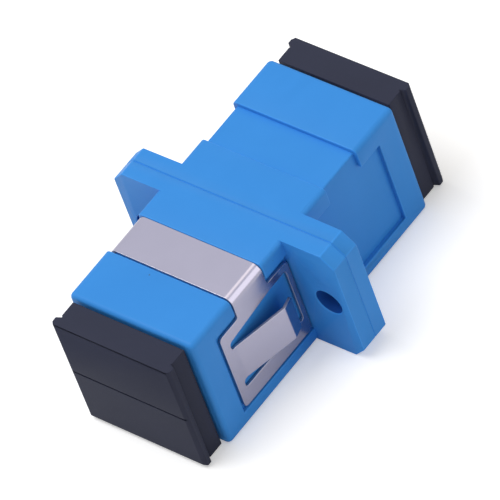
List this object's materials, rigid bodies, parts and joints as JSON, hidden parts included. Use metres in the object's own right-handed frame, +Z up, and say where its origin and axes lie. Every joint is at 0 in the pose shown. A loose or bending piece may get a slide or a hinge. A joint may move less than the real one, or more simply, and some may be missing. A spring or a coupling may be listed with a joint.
{
  "type": "fibre optic adapter",
  "caption": "Flanged coupler that joins fibre patch leads end to end in a split ceramic sleeve, with a spring clip for a panel cut-out and a dust cap in each square port.",
  "frame": {"origin": "centre of the underside, on the weld between the housing halves", "axes": "+X across the flange, +Y along the optical axis from the clip end to the plain end, +Z up"},
  "size_m": [0.022, 0.0318, 0.012],
  "materials": {
    "housing_plastic": "blue, smooth satin moulding",
    "cap_plastic": "black, satin moulding",
    "clip_steel": "bright rolled spring steel",
    "latch_plastic": "natural, unpainted moulding",
    "sleeve_ceramic": "white, ground and polished"
  },
  "bodies": {
    "adapter": {"housing_front": "housing_plastic", "housing_rear": "housing_plastic", "inner_latch_front": "latch_plastic", "inner_latch_rear": "latch_plastic", "alignment_sleeve": "sleeve_ceramic", "mounting_clip": "clip_steel"},
    "front_cap": {"dust_cap_front": "cap_plastic"},
    "rear_cap": {"dust_cap_rear": "cap_plastic"}
  },
  "joints": [
    {"name": "front_cap_pull", "type": "slide", "parent": "adapter", "child": "front_cap", "axis": [0, -1, 0], "range_m": [0, 0.02]},
    {"name": "rear_cap_pull", "type": "slide", "parent": "adapter", "child": "rear_cap", "axis": [0, 1, 0], "range_m": [0, 0.02]}
  ]
}
